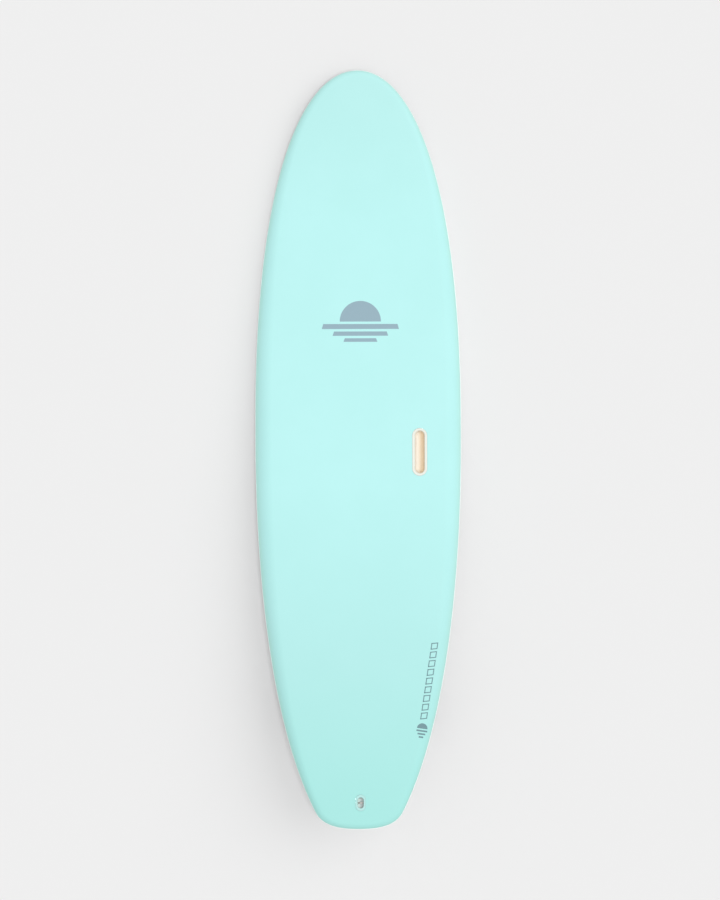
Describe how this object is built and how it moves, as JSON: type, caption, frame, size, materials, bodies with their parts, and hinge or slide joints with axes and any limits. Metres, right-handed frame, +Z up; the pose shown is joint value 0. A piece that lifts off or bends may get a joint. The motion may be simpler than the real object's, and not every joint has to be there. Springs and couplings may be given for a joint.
{
  "type": "surfboard",
  "caption": "Soft-topped mid-length surfboard with a rounded nose and squash tail, recessed carry handle, leash plug, and fins that pull out of their boxes",
  "frame": {"origin": "centre of the bounding box on the plane the board lies on", "axes": "+X across the board toward the handle side, +Y toward the nose, +Z up off the plane it lies on"},
  "size_m": [0.5802, 2.1306, 0.1916],
  "materials": {
    "deck_foam": "matte",
    "laminate": "matte",
    "slick_sheet": "gloss",
    "core_foam": "matte",
    "stringer_wood": "raw",
    "cream_moulding": "satin",
    "steel": "satin",
    "box_moulding": "satin",
    "fin_moulding": "satin"
  },
  "bodies": {
    "board": {"deck_skin": "deck_foam", "deck_laminate": "laminate", "bottom_laminate": "laminate", "bottom_skin": "slick_sheet", "core_left": "core_foam", "core_centre": "core_foam", "core_right": "core_foam", "stringer_left": "stringer_wood", "stringer_right": "stringer_wood", "handle_cup": "cream_moulding", "leash_plug_cup": "cream_moulding", "leash_pin": "steel", "fin_box_left": "box_moulding", "fin_box_centre": "box_moulding", "fin_box_right": "box_moulding"},
    "fin_body_left": {"fin_left": "fin_moulding"},
    "fin_body_centre": {"fin_centre": "fin_moulding"},
    "fin_body_right": {"fin_right": "fin_moulding"},
    "screw_body_left_front": {"screw_left_front": "steel"},
    "screw_body_left_rear": {"screw_left_rear": "steel"},
    "screw_body_centre_front": {"screw_centre_front": "steel"},
    "screw_body_centre_rear": {"screw_centre_rear": "steel"},
    "screw_body_right_front": {"screw_right_front": "steel"},
    "screw_body_right_rear": {"screw_right_rear": "steel"}
  },
  "joints": [
    {"name": "fin_left_pull", "type": "slide", "parent": "board", "child": "fin_body_left", "axis": [-0.1044, -0.1469, -0.9836], "range_m": [0, 0.03]},
    {"name": "fin_centre_pull", "type": "slide", "parent": "board", "child": "fin_body_centre", "axis": [0, -0.1761, -0.9844], "range_m": [0, 0.03]},
    {"name": "fin_right_pull", "type": "slide", "parent": "board", "child": "fin_body_right", "axis": [0.1044, -0.1469, -0.9836], "range_m": [0, 0.03]},
    {"name": "screw_left_front_turn", "type": "hinge", "parent": "board", "child": "screw_body_left_front", "pos_m": [-0.14979, -0.70829, 0.10165], "axis": [0.3251, -0.1617, -0.9318], "range_deg": [0, 720]},
    {"name": "screw_left_rear_turn", "type": "hinge", "parent": "board", "child": "screw_body_left_rear", "pos_m": [-0.15273, -0.76356, 0.11022], "axis": [0.3251, -0.1617, -0.9318], "range_deg": [0, 720]},
    {"name": "screw_centre_front_turn", "type": "hinge", "parent": "board", "child": "screw_body_centre_front", "pos_m": [0.0088, -0.86903, 0.12874], "axis": [0.4226, -0.1596, -0.8921], "range_deg": [0, 720]},
    {"name": "screw_centre_rear_turn", "type": "hinge", "parent": "board", "child": "screw_body_centre_rear", "pos_m": [0.0088, -0.92416, 0.13861], "axis": [0.4226, -0.1596, -0.8921], "range_deg": [0, 720]},
    {"name": "screw_right_front_turn", "type": "hinge", "parent": "board", "child": "screw_body_right_front", "pos_m": [0.14979, -0.70829, 0.10165], "axis": [-0.3251, -0.1617, -0.9318], "range_deg": [0, 720]},
    {"name": "screw_right_rear_turn", "type": "hinge", "parent": "board", "child": "screw_body_right_rear", "pos_m": [0.15273, -0.76356, 0.11022], "axis": [-0.3251, -0.1617, -0.9318], "range_deg": [0, 720]}
  ]
}
